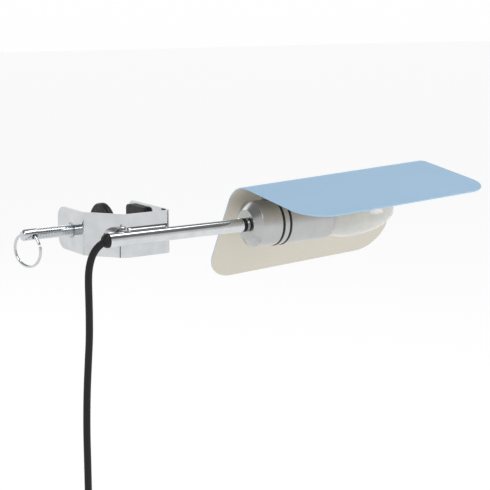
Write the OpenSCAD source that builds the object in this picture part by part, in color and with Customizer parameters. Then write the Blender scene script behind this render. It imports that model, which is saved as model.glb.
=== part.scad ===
// Clip-on picture light: a bent-strip screw clamp, a swivelling tube arm,
// a turned lampholder head and a folded sheet shade that turns on two O-rings.
// Frame: origin at the middle of the fixed jaw's rubber face, +X from the jaw
// along the arm to the head, +Z up, and the arm runs on the -Y side. Millimetres.

/* [Clamp] */
// Thickness of the panel that the clamp holds at rest
panel_t = 30; // [26:0.5:34]
// Width of the bent strip
strip_w = 38; // [34:1:42]
// Thickness of the bent strip
strip_t = 2; // [1.5:0.1:2.5]
// Outer face of the screw wing, along X
wing_x = -64; // [-68:1:-60]
// End of the wing past the screw axis, along Y
wing_end = 27; // [23:1:32]
// Diameter of the clamp screw
screw_d = 10; // [8:0.5:10]
// Length of the screw outside the wing
screw_out = 48.5; // [44:0.5:55]
// Diameter of the rubber pad
pad_d = 43; // [28:1:44]
// Thickness of the rubber pad
pad_t = 6; // [4:0.5:7]
// Thickness of the rubber liner on the fixed jaw
liner_t = 4.5; // [3:0.5:6]

/* [Pull ring] */
// Middle radius of the ring
ring_r = 14.8; // [12:0.2:17]
// Diameter of the ring's wire
ring_wire = 2.6; // [2:0.1:3]
// Turn of the cross hole about the screw's axis
ring_roll = 16.5; // [0:0.5:40]
// Slant of the cross hole from square
ring_yaw = 22; // [0:1:25]

/* [Arm] */
// Distance of the arm's axis from the screw's axis, along Y
arm_off = 64; // [60:1:70]
// Outer diameter of the arm tube
arm_d = 12; // [11:0.5:13]
// Length of the arm tube
arm_len = 132.5; // [110:0.5:160]
// Place of the pivot, along X
pivot_x = -44.5; // [-46:0.5:-43]
// Diameter of the pivot boss
boss_d = 16; // [14:0.5:18]

/* [Head] */
// Diameter of the lampholder sleeve
head_d = 42.4; // [40:0.2:46]
// Length of the front sleeve, bevel included
front_len = 27; // [24:1:32]
// Length of the rear sleeve
rear_len = 47.7; // [40:0.1:60]
// Largest diameter of the bulb
bulb_d = 44; // [38:1:46]
// Length of the bulb's round nose
bulb_nose = 57; // [40:1:60]

/* [Shade] */
// Length of the shade along the arm
shade_len = 217; // [180:1:260]
// Flat width of each side of the shade
shade_flat = 94; // [70:1:110]
// Thickness of the shade's sheet
shade_t = 1.2; // [0.8:0.1:1.6]
// Angle of each side from the shade's middle plane
shade_half = 55; // [50:1:60]
// Outer radius of the ridge bend
ridge_r = 30; // [24:1:34]
// Radius of the shade's free corners
corner_r = 30; // [10:1:40]
// Lean of the shade about the head's axis
shade_lean = 25.7; // [-90:0.1:90]
// Rise of the shade's free end
shade_rise = 2.7; // [0:0.1:3]

/* [Cord] */
// Diameter of the cord
cord_d = 6.3; // [6:0.1:6.5]

/* [Hidden] */
$fn = 64;
slip = 0.05;                       // running clearance of round fits
lap = 0.0005;                      // overlap of fused solids

// Clamp strip: corner points of its middle line, seen from above
fold_y = -22.8;                    // wing to slanted plate
band_y = -arm_off + 10;            // middle of the band's thickness
// The slanted plate runs 3 along X for each 4 along Y, so the bends meet it exactly
band_x = wing_x + strip_t / 2 + (fold_y - band_y) * 3 / 4;
hook_x = liner_t + strip_t / 2;
jaw_end = 20;
path = [[wing_x + strip_t / 2, wing_end], [wing_x + strip_t / 2, fold_y], [band_x, band_y],
        [hook_x, band_y], [hook_x, jaw_end]];
bend_r = [6, 11, 6];               // middle-line radii of the three bends
wing_corner = 12;
jaw_corner = 8;

// Screw, bush and pad, all round the X axis
pad_face = -panel_t;
cup_x = pad_face - pad_t;          // back of the rubber pad
cup_t = 2;
socket_x = cup_x - 6;              // back of the cup's socket
bush_spigot_r = 7;
bush_flange_r = 9;
bush_t = 4.5;
nose_r = 4;
groove_x = cup_x - 2.6;            // retaining clip's groove
clip_t = 0.8;
screw_tip = wing_x - screw_out;
hole_x = screw_tip + 9.2;
hole_r = 2.15;
ring_drop = ring_r - 0.5;          // ring's middle below the cross hole
ring_hang = atan(sin(ring_yaw) * tan(ring_roll));

// Arm and pivot, the pivot's axis runs along Y
arm_y = -arm_off;
arm_x0 = pivot_x - 17;
arm_x1 = arm_x0 + arm_len;
bore_r = arm_d / 2 - 1;
boss_y0 = arm_y + arm_d / 2 + 2.4;
boss_y1 = -34;
washer_t = 0.8;
bolt_r = 2.5;
neck_r = 6.5;
nipple_r = 5;

// Head, all round the arm's axis
cap_x = arm_x1 + 7;                // flat front face of the head
cap_flat_r = 13.6;
bevel_len = 5.9;
head_r = head_d / 2;
o_ring_r = 1.25;
o_ring_mid = head_r - 0.65;
cap_end = cap_x + front_len;
collar_x = cap_end + 2 * o_ring_r + slip + 2.5;
rear_x = cap_end + 4 * o_ring_r + 2 * slip + 5;
rear_end = rear_x + rear_len;
spigot_r = 17;
sleeve_in = head_r - 1.7;
bulb_r = bulb_d / 2;
bulb_mid = rear_end + 29.7;

// Shade, in a frame whose X runs along the ridge and whose Z points at it
shade_x0 = -30.9;
apex_h = 42;
bend_c = apex_h - ridge_r / sin(shade_half);
half_turn = 90 - shade_half;
ridge_in = ridge_r - shade_t;

// Cord: middle line of the hanging stretch
run_route = [
    [-53.5, arm_y, 0], [-58, arm_y, 0], [-62.5, arm_y, -0.4], [-67.5, arm_y, -2],
    [-72.5, arm_y, -5.5], [-76.5, arm_y, -11], [-79, arm_y, -17.5], [-80.5, arm_y, -25],
    [-81, arm_y, -34], [-81, arm_y, -46], [-81, arm_y, -62], [-81.5, arm_y, -82],
    [-83, arm_y, -103], [-84.5, arm_y, -124], [-85.5, arm_y, -145], [-86, arm_y, -166],
    [-86, arm_y, -188], [-86, arm_y, -210], [-86, arm_y, -232], [-86, arm_y, -254],
    [-86, arm_y, -276], [-86, arm_y, -294], [-86, arm_y, -304]
];
tail_route = [[-86, arm_y, -344], [-86, arm_y, -353], [-86, arm_y, -362]];
cord_x = -86;
coil_mid = 34.7;                   // middle radius of the wound bundle
coil_x = cord_x + coil_mid;
coil_z = -324;
bundle = [2.14 * cord_d, 4 * cord_d];
switch_z = -259;
rocker_y = arm_y - 7.4;
plug_z = -362;
plug_w = 35;
plug_thick = 13.6;
plug_h = 34;
pin_gap = 18.6;
pin_z = plug_z - 14 - plug_h;      // face that the pins stand on

// ---------- helpers ----------

// Children built round local Z are laid along the arm's axis
module along_arm() { translate([0, arm_y, 0]) rotate([0, 90, 0]) children(); }
// Children built round local Z are laid along the screw's axis
module along_screw() { rotate([0, 90, 0]) children(); }

// Tube or disc between two places on its axis
module tube(r_out, r_in, x0, x1) {
    translate([0, 0, x0]) difference() {
        cylinder(r = r_out, h = x1 - x0);
        if (r_in > 0) translate([0, 0, -1]) cylinder(r = r_in, h = x1 - x0 + 2);
    }
}

// Rounded rectangle about the origin
module rounded_rect(w, h, r) {
    square([w - 2 * r, h], center = true);
    square([w, h - 2 * r], center = true);
    for (sx = [-1, 1], sy = [-1, 1]) translate([sx * (w / 2 - r), sy * (h / 2 - r)]) circle(r = r);
}

// Swept tube along a route in a plane of constant Y
function unit(v) = v / norm(v);
function heading(p, i) = unit(p[min(i + 1, len(p) - 1)] - p[max(i - 1, 0)]);
module swept(p, r, sides = 10) {
    rings = [for (i = [0:len(p) - 1], k = [0:sides - 1])
        let (t = heading(p, i), b = cross(t, [0, 1, 0]), a = 360 * k / sides)
            p[i] + r * (cos(a) * [0, 1, 0] + sin(a) * b)];
    walls = [for (i = [0:len(p) - 2], k = [0:sides - 1])
        let (k2 = (k + 1) % sides)
            [i * sides + k, i * sides + k2, (i + 1) * sides + k2, (i + 1) * sides + k]];
    ends = [[for (k = [0:sides - 1]) sides - 1 - k],
            [for (k = [0:sides - 1]) (len(p) - 1) * sides + k]];
    polyhedron(points = rings, faces = concat(walls, ends), convexity = 6);
}

// ---------- clamp ----------

function angle_of(v) = atan2(v[1], v[0]);
function leg_angle(i) = angle_of(path[i + 1] - path[i]);
function turn(i) = leg_angle(i) - leg_angle(i - 1);
function setback(i) = (i < 1 || i > 3) ? 0 : bend_r[i - 1] * tan(turn(i) / 2);

// Straight leg i of the strip, between its bends
module leg(i) {
    start = setback(i) - lap;
    end = norm(path[i + 1] - path[i]) - setback(i + 1) + lap;
    translate(path[i]) rotate([0, 0, leg_angle(i)]) translate([start, -strip_t / 2, -strip_w / 2])
        cube([end - start, strip_t, strip_w]);
}

// Bend at corner i
module bend(i) {
    a = leg_angle(i - 1);
    start = path[i] - setback(i) * [cos(a), sin(a)];
    r = bend_r[i - 1];
    translate(start + r * [-sin(a), cos(a)]) rotate([0, 0, a - 90])
        rotate_extrude(angle = turn(i)) translate([r - strip_t / 2, -strip_w / 2]) square([strip_t, strip_w]);
}

// Rounds both free corners at the end of a leg that lies across X
module round_off(x, end, r) {
    for (s = [-1, 1]) translate([x - strip_t, end - r, s * (strip_w / 2 - r)]) rotate([0, 90, 0])
        difference() {
            translate([s > 0 ? -r - 1 : 0, 0, 0]) cube([r + 1, r + 1, 2 * strip_t]);
            translate([0, 0, -1]) cylinder(r = r, h = 2 * strip_t + 2);
        }
}

module clamp_frame() {
    color("lightgray") difference() {
        union() {
            for (i = [0:3]) leg(i);
            for (i = [1:3]) bend(i);
        }
        round_off(path[0][0], wing_end, wing_corner);
        round_off(hook_x, jaw_end, jaw_corner);
        along_screw() tube(bush_spigot_r, 0, wing_x - 2, wing_x + strip_t + 2);
        pivot_hole(boss_d / 2, boss_y0 - 1, boss_y1 + 1);
    }
}

module screw_bush() {
    color("silver") along_screw() difference() {
        union() {
            tube(bush_spigot_r, 0, wing_x, wing_x + strip_t + 1);
            tube(bush_flange_r, 0, wing_x + strip_t, wing_x + strip_t + bush_t);
        }
        tube(screw_d / 2 + slip, 0, wing_x - 1, wing_x + strip_t + bush_t + 1);
    }
}

module jaw_liner() {
    color("black") translate([0, 0, 0]) rotate([0, 90, 0])
        linear_extrude(height = liner_t) rounded_rect(strip_w - 6, 2 * jaw_end - 6, 4);
}

module pivot_boss() {
    color("lightgray") translate([pivot_x, boss_y1, 0]) rotate([90, 0, 0])
        tube(boss_d / 2, bolt_r + slip, 0, boss_y1 - boss_y0);
}

module friction_washer() {
    color("dimgray") translate([pivot_x, boss_y0, 0]) rotate([90, 0, 0])
        tube(boss_d / 2 - 0.5, bolt_r + slip, 0, washer_t);
}

// ---------- pad and screw ----------

module pad_cup() {
    color("silver") along_screw() difference() {
        union() {
            tube(13, 0, cup_x - cup_t, cup_x);
            tube(8, 0, socket_x, cup_x - cup_t + 1);
        }
        tube(nose_r + slip, 0, socket_x - 1, cup_x + 1);
        tube(6.6, 0, groove_x - slip, cup_x + 1);
    }
}

module rubber_pad() {
    color([0.09, 0.09, 0.09]) along_screw() rotate_extrude() polygon([
        [0, cup_x], [pad_d / 2 - 1, cup_x], [pad_d / 2, cup_x + 1],
        [pad_d / 2, pad_face - 1], [pad_d / 2 - 1, pad_face], [0, pad_face]
    ]);
}

module clamp_screw() {
    r = screw_d / 2;
    dome = 2.6;
    color("silver") difference() {
        along_screw() rotate_extrude() polygon(concat(
            [for (i = [0:6]) [r * sin(15 * i), screw_tip + dome * (1 - cos(15 * i))]],
            [[r, socket_x - slip], [nose_r, socket_x - slip], [nose_r, groove_x], [3.2, groove_x],
             [3.2, groove_x + clip_t], [nose_r, groove_x + clip_t], [nose_r, cup_x - 0.7],
             [nose_r - 0.5, cup_x - 0.2], [0, cup_x - 0.2]]
        ));
        in_hole_frame() rotate([90, 0, 0]) cylinder(r = hole_r, h = 20, center = true);
    }
}

module retaining_clip() {
    color("dimgray") along_screw() difference() {
        tube(6, 3.2, groove_x, groove_x + clip_t);
        translate([-1.9, 0, groove_x - 1]) cube([3.8, 9, 3]);
    }
}

// The cross hole's frame: Y along the hole, Z up as near as it goes
module in_hole_frame() {
    translate([hole_x, 0, 0]) rotate([ring_roll, 0, 0]) rotate([0, 0, ring_yaw]) children();
}

// Split ring that hangs from the cross hole, its gap on the near side
module pull_ring() {
    color("silver") in_hole_frame() rotate([0, ring_hang, 0]) translate([0, 0, -ring_drop])
        rotate([0, 90, 0]) rotate([0, 0, 238])
            rotate_extrude(angle = 355) translate([ring_r, 0]) circle(d = ring_wire, $fn = 24);
}

// ---------- arm ----------

module pivot_hole(r, y0, y1) {
    translate([pivot_x, y0, 0]) rotate([-90, 0, 0]) cylinder(r = r, h = y1 - y0);
}

module arm_tube() {
    color("lightgray") difference() {
        along_arm() tube(arm_d / 2, bore_r, arm_x0, arm_x1);
        pivot_hole(bolt_r, arm_y, arm_y + arm_d);
    }
}

// Spacer hollowed to sit on the tube, with a flat face for the washer
module arm_saddle() {
    color("lightgray") difference() {
        pivot_hole(7, arm_y, boss_y0 - washer_t - slip);
        along_arm() tube(arm_d / 2, 0, arm_x0, arm_x1);
        pivot_hole(bolt_r, arm_y - 1, arm_y + arm_d);
        translate([pivot_x - 10, arm_y - 10, -10]) cube([20, 12, 20]);
    }
}

module arm_insert() {
    color("silver") difference() {
        along_arm() tube(bore_r, 0, pivot_x - 6, pivot_x + 6);
        translate([pivot_x - 7, arm_y - 10, -10]) cube([14, 10.6, 20]);
        pivot_hole(bolt_r, arm_y, arm_y + arm_d);
    }
}

module pivot_screw() {
    head_y = boss_y1 + 1.2;
    color("dimgray") difference() {
        union() {
            pivot_hole(bolt_r, arm_y + 1, head_y + 0.5);
            pivot_hole(4.4, head_y, head_y + 3);
        }
        pivot_hole_hex(2, head_y + 1.2, head_y + 4);
    }
}

module pivot_hole_hex(r, y0, y1) {
    translate([pivot_x, y0, 0]) rotate([-90, 0, 0]) cylinder(r = r, h = y1 - y0, $fn = 6);
}

module spring_washer() {
    color("silver") difference() {
        pivot_hole(4.4, boss_y1 + slip, boss_y1 + 1.2);
        pivot_hole(bolt_r, boss_y1 - 1, boss_y1 + 3);
    }
}

// Rubber plug in the tube's end, with a domed mouth for the cord
module arm_grommet() {
    mouth = 5.2;
    color([0.08, 0.08, 0.08]) difference() {
        union() {
            along_arm() tube(bore_r, 0, arm_x0, arm_x0 + 8);
            along_arm() rotate_extrude() polygon(concat(
                [[0, arm_x0], [arm_d / 2 + 0.3, arm_x0]],
                [for (i = [0:6]) [(arm_d / 2 + 0.3) * cos(12 * i), arm_x0 - 1 - mouth * sin(12 * i)]],
                [[0, arm_x0 - 1 - mouth * sin(72)]]
            ));
        }
        along_arm() tube(cord_d / 2 - 0.4, 0, arm_x0, arm_x0 + 9);
    }
}

// ---------- neck and head ----------

module neck_ring() {
    color("lightgray") along_arm() rotate_extrude() polygon([
        [nipple_r, arm_x1], [neck_r - 0.5, arm_x1], [neck_r, arm_x1 + 0.5],
        [neck_r, arm_x1 + 1.9], [neck_r - 0.5, arm_x1 + 2.4], [nipple_r, arm_x1 + 2.4]
    ]);
}

module neck_bush() {
    color([0.07, 0.07, 0.07]) along_arm() tube(neck_r - 0.3, nipple_r, arm_x1 + 2.4, arm_x1 + 5.8);
}

module neck_nipple() {
    color("goldenrod") along_arm() tube(nipple_r, 3.6, arm_x1 - 11, cap_x + 11);
}

module nipple_nut() {
    color("goldenrod") along_arm() translate([0, 0, cap_x + 7]) difference() {
        cylinder(r = 8, h = 3, $fn = 6);
        translate([0, 0, -1]) cylinder(r = nipple_r, h = 5);
    }
}

// Front of the head: boss, flat face, bevel and the turned barrel
module end_cap() {
    color("silver") along_arm() rotate_extrude($fn = 96) polygon([
        [nipple_r, cap_x - 1.2], [neck_r, cap_x - 1.2], [neck_r, cap_x], [cap_flat_r, cap_x],
        [head_r, cap_x + bevel_len], [head_r, cap_end], [spigot_r, cap_end],
        [spigot_r, cap_end - 12.5], [15, cap_end - 12.5], [15, cap_x + 7], [nipple_r, cap_x + 7]
    ]);
}

module o_ring(x) {
    color([0.05, 0.05, 0.05]) along_arm() translate([0, 0, x])
        rotate_extrude($fn = 96) translate([o_ring_mid, 0]) circle(r = o_ring_r, $fn = 24);
}
module front_o_ring() { o_ring(cap_end + o_ring_r); }
module rear_o_ring() { o_ring(rear_x - o_ring_r); }

// Barrel behind the shade's collar, with the spigot that joins it to the front
module rear_sleeve() {
    color("silver") along_arm() rotate_extrude($fn = 96) polygon([
        [14.5, cap_end - 12.5], [spigot_r, cap_end - 12.5], [spigot_r, rear_x], [head_r, rear_x],
        [head_r, rear_end], [sleeve_in, rear_end], [sleeve_in, rear_x + 3.4], [14.5, rear_x + 3.4]
    ]);
}

holder_x = rear_x + 3.4;
module holder_body() {
    color("whitesmoke") along_arm() difference() {
        rotate_extrude() polygon([
            [0, holder_x], [18.8, holder_x], [18.8, rear_end - 5], [16.5, rear_end - 5],
            [16.5, holder_x + 32], [14.2, holder_x + 32], [14.2, holder_x + 6.5], [0, holder_x + 6.5]
        ]);
        for (s = [-1, 1]) translate([s * 5, 0, holder_x - 1]) cylinder(r = 1.3, h = 5);
    }
}

module holder_shell() {
    color("goldenrod") along_arm() tube(14.2, 13.5, holder_x + 8, holder_x + 31);
}

module centre_contact() {
    color("goldenrod") along_arm() tube(3.5, 0, holder_x + 6.5, holder_x + 8.4);
}

module terminal_screws() {
    color("goldenrod") along_arm() for (s = [-1, 1]) translate([s * 5, 0, 0]) {
        tube(2.1, 0, holder_x - 1.8, holder_x);
        tube(1.3, 0, holder_x - lap, holder_x + 4);
    }
}

module holder_ring() {
    color([0.1, 0.1, 0.1]) along_arm() tube(sleeve_in, 16.5, rear_end - 5, rear_end - 1);
}

// Screw cap of the bulb, with its insulated tip
module bulb_cap() {
    color("silver") along_arm() rotate_extrude() polygon([
        [0, holder_x + 8.4], [4.5, holder_x + 8.4], [10, holder_x + 12],
        [13.2, holder_x + 13], [13.2, holder_x + 34], [0, holder_x + 34]
    ]);
}

// Opal glass: neck, shoulder and long round nose
glass_x = holder_x + 34;
function glass(thin) = concat(
    [[13.2 - thin, glass_x]],
    [for (i = [0:10]) let (s = i / 10)
        [15.3 + (bulb_r - 15.3) * sin(90 * s) - thin, rear_end - 2 + (bulb_mid - rear_end + 2) * s]],
    [for (i = [1:14]) let (a = 90 * i / 14)
        [i == 14 ? 0 : (bulb_r - thin) * cos(a), bulb_mid + (bulb_nose - thin) * sin(a)]]
);
module bulb_globe() {
    inner = glass(1);
    color([0.95, 0.95, 0.92]) along_arm() rotate_extrude($fn = 96)
        polygon(concat(glass(0), [for (i = [len(inner) - 1:-1:0]) inner[i]]));
}

module lamp_leads() {
    color("saddlebrown") for (s = [-1, 1]) translate([0, -1.4, s * 1.7])
        along_arm() tube(1.1, 0, arm_x0 + 8, holder_x);
}

// ---------- shade ----------

module on_collar() { translate([collar_x, arm_y, 0]) rotate([-shade_lean, 0, 0]) children(); }
module on_shade() { on_collar() rotate([0, -shade_rise, 0]) children(); }

// Part of a round ridge, about the bend's axis
module ridge_arc(r_in, r_out, half, x0, run) {
    translate([x0, 0, bend_c]) rotate([0, 90, 0]) rotate([0, 0, 180 - half])
        rotate_extrude(angle = 2 * half, $fn = 128) translate([r_in, 0]) square([r_out - r_in, run]);
}

module lug_screw_holes(r, x0, x1) {
    for (s = [-1, 1]) translate([x0, s * 3.2, 27]) rotate([0, 90, 0]) cylinder(r = r, h = x1 - x0, $fn = 24);
}

// Ring between the O-rings, with a lug for the bracket
module shade_collar() {
    color("gainsboro") difference() {
        union() {
            on_collar() rotate([0, 90, 0]) tube(head_r, spigot_r + slip, -2.5, 2.5);
            on_collar() translate([-2.4, -6, 19]) cube([4.8, 12, 5]);
            on_shade() translate([-2, -6, 22.6]) cube([4, 12, 7.4]);
        }
        on_shade() lug_screw_holes(1.25, -5, 5);
    }
}

// Leg and saddle that carry the shade under its ridge
module shade_bracket() {
    color("gainsboro") on_shade() difference() {
        union() {
            ridge_arc(ridge_in - 1.5, ridge_in, 18, -14, 34);
            translate([2, -6, 22.6]) cube([1.6, 12, 10.6]);
        }
        lug_screw_holes(1.25, -5, 5);
    }
}

module bracket_screws() {
    color("silver") on_shade() {
        lug_screw_holes(1.25, -2, 3.7);
        lug_screw_holes(2.3, 3.6, 5);
    }
}

// One side with its half of the bend; Y runs down the side from where the bend ends
module half_shade() {
    far = 2 * ridge_r;
    difference() {
        rotate([-half_turn, 0, 0]) {
            difference() {
                rotate([0, 90, 0]) tube(ridge_r, ridge_in, 0, shade_len, $fn = 128);
                translate([-1, 0, -far]) cube([shade_len + 2, far, 2 * far]);
            }
            translate([0, 0, ridge_in]) linear_extrude(height = shade_t) {
                square([shade_len, shade_flat - corner_r]);
                translate([corner_r, 0]) square([shade_len - 2 * corner_r, shade_flat]);
                for (x = [corner_r, shade_len - corner_r])
                    translate([x, shade_flat - corner_r]) circle(r = corner_r, $fn = 96);
            }
        }
        translate([-1, -far, -far]) cube([shade_len + 2, far, 2 * far]);
    }
}

module shade_shell() {
    color([0.65, 0.77, 0.86]) on_shade() translate([shade_x0, 0, bend_c]) {
        half_shade();
        mirror([0, 1, 0]) half_shade();
    }
}

// ---------- cord, switch and plug ----------

module cord_run() { color([0.06, 0.06, 0.06]) swept(run_route, cord_d / 2); }
module cord_tail() { color([0.06, 0.06, 0.06]) swept(tail_route, cord_d / 2); }

module cord_coil() {
    color([0.06, 0.06, 0.06]) translate([coil_x, arm_y, coil_z]) rotate([90, 0, 0])
        rotate_extrude() translate([coil_mid - bundle[0] / 2, -bundle[1] / 2]) square(bundle);
}

// Strap round the bundle, on the side away from the hanging cord
module cord_tie() {
    w = bundle[0] - 0.2;
    d = bundle[1] - 0.2;
    color([0.12, 0.12, 0.12]) translate([coil_x + coil_mid, arm_y, coil_z]) difference() {
        cube([w + 2.4, d + 2.4, 12], center = true);
        cube([w, d, 14], center = true);
    }
}

module switch_half(y0, y1) {
    translate([cord_x, y1, switch_z]) rotate([90, 0, 0])
        linear_extrude(height = y1 - y0) rounded_rect(26, 54, 6);
}
module switch_hollow(y0, y1) {
    translate([cord_x - 11, y0, switch_z - 22]) cube([22, y1 - y0, 44]);
}
module cord_way() { translate([cord_x, arm_y, switch_z - 30]) cylinder(r = cord_d / 2, h = 60); }
module switch_posts(r, y0, y1) {
    for (s = [-1, 1]) translate([cord_x + s * 9, y1, switch_z + s * 18.5]) rotate([90, 0, 0])
        cylinder(r = r, h = y1 - y0, $fn = 32);
}

module switch_base() {
    color([0.1, 0.1, 0.1]) difference() {
        union() {
            difference() {
                switch_half(arm_y, arm_y + 9);
                switch_hollow(arm_y - 1, arm_y + 7);
            }
            switch_posts(2.6, arm_y, arm_y + 8);
        }
        cord_way();
        switch_posts(1.1, arm_y - 1, arm_y + 10);
    }
}

module rocker_pin(r, half_len) {
    translate([cord_x, rocker_y, switch_z]) rotate([0, 90, 0])
        cylinder(r = r, h = 2 * half_len, center = true, $fn = 32);
}
module switch_cover() {
    color([0.1, 0.1, 0.1]) difference() {
        union() {
            difference() {
                switch_half(arm_y - 9, arm_y);
                switch_hollow(arm_y - 7, arm_y + 1);
            }
            for (s = [-1, 1]) translate([cord_x + s * 7.4 - 1, arm_y - 8, switch_z - 4]) cube([2, 4, 8]);
            switch_posts(2.6, arm_y - 8, arm_y);
        }
        cord_way();
        translate([cord_x - 6.3, arm_y - 10, switch_z - 9.8]) cube([12.6, 4.5, 19.6]);
        rocker_pin(1.25, 7.6);
        switch_posts(1.1, arm_y - 5, arm_y + 1);
    }
}

module switch_screws() {
    color("silver") {
        switch_posts(1.1, arm_y - 5, arm_y + 9);
        switch_posts(2, arm_y + 9, arm_y + 10);
    }
}

// Rocker, shown pressed at its upper end
module switch_rocker() {
    color([0.16, 0.16, 0.16]) {
        rocker_pin(1.2, 7.3);
        translate([cord_x, rocker_y, switch_z]) rotate([-8, 0, 0])
            translate([-5.9, -2.9, -9]) cube([11.8, 4.6, 18]);
    }
}

// Flat two-pin plug, its pins pointing down
module plug_body() {
    color([0.08, 0.08, 0.08]) difference() {
        union() {
            translate([cord_x, arm_y + plug_thick / 2, plug_z - 14]) rotate([90, 0, 0])
                linear_extrude(height = plug_thick) polygon([
                    [-5, 0], [5, 0], [plug_w / 2, -14], [plug_w / 2, -plug_h],
                    [-plug_w / 2, -plug_h], [-plug_w / 2, -14]
                ]);
            translate([cord_x, arm_y, plug_z - 14.5]) cylinder(r1 = 5.4, r2 = 4, h = 14.5);
        }
        at_pins() tube(1.6, 0, pin_z - 1, pin_z + 8);
    }
}

module at_pins() {
    for (s = [-1, 1]) translate([cord_x + s * pin_gap / 2, arm_y, 0]) children();
}
module pin_sleeves() { color([0.1, 0.1, 0.1]) at_pins() tube(2, 1.6, pin_z - 10, pin_z); }
module plug_pins() {
    color("silver") at_pins() {
        tube(1.6, 0, pin_z - 11, pin_z + 8);
        tube(2, 0, pin_z - 17, pin_z - 10);
        translate([0, 0, pin_z - 17]) sphere(r = 2, $fn = 24);
    }
}

clamp_frame();
screw_bush();
jaw_liner();
pivot_boss();
friction_washer();
pad_cup();
rubber_pad();
clamp_screw();
retaining_clip();
pull_ring();
arm_tube();
arm_saddle();
arm_insert();
pivot_screw();
spring_washer();
arm_grommet();
neck_ring();
neck_bush();
neck_nipple();
nipple_nut();
end_cap();
front_o_ring();
rear_o_ring();
rear_sleeve();
holder_body();
holder_shell();
centre_contact();
terminal_screws();
holder_ring();
bulb_cap();
bulb_globe();
lamp_leads();
shade_collar();
shade_bracket();
bracket_screws();
shade_shell();
cord_run();
cord_coil();
cord_tail();
cord_tie();
switch_base();
switch_cover();
switch_screws();
switch_rocker();
plug_body();
pin_sleeves();
plug_pins();
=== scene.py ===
"""Looks of a clip-on picture light, built round its CAD frame: metres, +X along the arm, +Z up."""
from math import cos, pi, radians, sin

import bpy
from mathutils import Matrix, Vector


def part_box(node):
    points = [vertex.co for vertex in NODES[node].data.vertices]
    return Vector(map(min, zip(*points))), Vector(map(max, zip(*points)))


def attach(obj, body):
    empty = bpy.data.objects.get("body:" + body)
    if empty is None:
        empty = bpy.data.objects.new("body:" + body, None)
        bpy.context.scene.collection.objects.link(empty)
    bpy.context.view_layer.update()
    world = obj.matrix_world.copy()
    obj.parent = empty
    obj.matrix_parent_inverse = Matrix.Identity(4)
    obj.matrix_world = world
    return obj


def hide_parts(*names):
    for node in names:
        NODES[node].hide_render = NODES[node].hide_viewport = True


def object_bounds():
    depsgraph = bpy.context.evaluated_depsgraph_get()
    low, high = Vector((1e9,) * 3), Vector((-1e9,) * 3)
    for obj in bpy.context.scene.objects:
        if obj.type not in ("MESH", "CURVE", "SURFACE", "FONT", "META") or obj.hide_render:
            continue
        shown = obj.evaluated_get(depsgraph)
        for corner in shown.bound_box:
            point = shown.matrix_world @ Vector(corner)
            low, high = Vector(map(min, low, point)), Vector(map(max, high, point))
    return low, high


bl_info = {
    "name": "Picture light",
    "version": (1, 0, 0),
    "blender": (4, 5, 0),
    "location": "View3D > Sidebar > Picture light",
    "description": "Shade, clamp screw, cord and finishes of a clip-on picture light",
    "category": "Object",
}

MM = 0.001
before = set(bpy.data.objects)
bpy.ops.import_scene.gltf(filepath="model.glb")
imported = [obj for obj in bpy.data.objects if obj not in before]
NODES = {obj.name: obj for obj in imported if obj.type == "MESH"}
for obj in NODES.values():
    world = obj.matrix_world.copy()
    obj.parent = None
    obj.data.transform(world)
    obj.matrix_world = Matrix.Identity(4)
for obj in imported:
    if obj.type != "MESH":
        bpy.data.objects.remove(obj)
CAD_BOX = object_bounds()

# ---------- places taken from the CAD frame ----------

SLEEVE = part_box("rear_sleeve")
ARM_Y = (SLEEVE[0].y + SLEEVE[1].y) / 2
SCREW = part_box("clamp_screw")
SCREW_TIP, SCREW_END = SCREW[0].x, SCREW[1].x
COLLAR_X = 110.05 * MM                 # middle of the shade's collar
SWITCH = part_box("switch_base")
CORD_X = (SWITCH[0].x + SWITCH[1].x) / 2
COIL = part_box("cord_coil")
COIL_X = (COIL[0].x + COIL[1].x) / 2
COIL_Z = (COIL[0].z + COIL[1].z) / 2


# ---------- sizes and colours a user may change ----------

def colour(name, text, hexa):
    """A colour that a user may change, given as sRGB hex."""
    return bpy.props.FloatVectorProperty(
        name=name, description=text, default=linear(hexa)[:3], size=3, min=0, max=1, subtype="COLOR")


def length(name, text, value):
    """A length that a user may change, in metres."""
    return bpy.props.FloatProperty(
        name=name, description=text, default=value, min=0, subtype="DISTANCE", unit="LENGTH", precision=4)


def linear(hexa):
    """sRGB hex to a linear RGBA colour."""
    out = []
    for i in (0, 2, 4):
        c = int(hexa[i:i + 2], 16) / 255
        out.append(c / 12.92 if c <= 0.04045 else ((c + 0.055) / 1.055) ** 2.4)
    return (*out, 1.0)


class ShadeSizes(bpy.types.PropertyGroup):
    """Sizes and paints of the folded shade."""
    long: length("Length", "Length of the shade along its ridge", 217 * MM)
    flat: length("Side", "Flat width of each side", 94 * MM)
    sheet: length("Sheet", "Thickness of the sheet", 1.2 * MM)
    ridge: length("Ridge radius", "Outer radius of the ridge bend", 30 * MM)
    corner: length("Corner radius", "Radius of the free corners", 30 * MM)
    rim: length("Rim", "Rounding of the cut rim", 0.25 * MM)
    outside: colour("Outside", "Paint on the outside", "A6CBE8")
    inside: colour("Inside", "Paint on the inside", "D3CEC0")


class ScrewSizes(bpy.types.PropertyGroup):
    """Sizes of the clamp screw and its thread."""
    radius: length("Radius", "Radius of the screw", 5 * MM)
    pitch: length("Pitch", "Pitch of the thread", 1.5 * MM)
    plain: length("Plain end", "Length without a thread, where the cross hole is", 14.5 * MM)


class CordSizes(bpy.types.PropertyGroup):
    """Sizes and dye of the braided cord."""
    diameter: length("Diameter", "Diameter of the cord", 6.3 * MM)
    yarn: length("Yarn", "Length of one yarn's float in the braid", 3.2 * MM)
    dye: colour("Dye", "Colour of the textile", "111112")


# ---------- modelling helpers ----------

def deselect():
    """Leaves edit mode and selects nothing."""
    if bpy.context.object and bpy.context.object.mode != "OBJECT":
        bpy.ops.object.mode_set(mode="OBJECT")
    bpy.ops.object.select_all(action="DESELECT")


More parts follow.
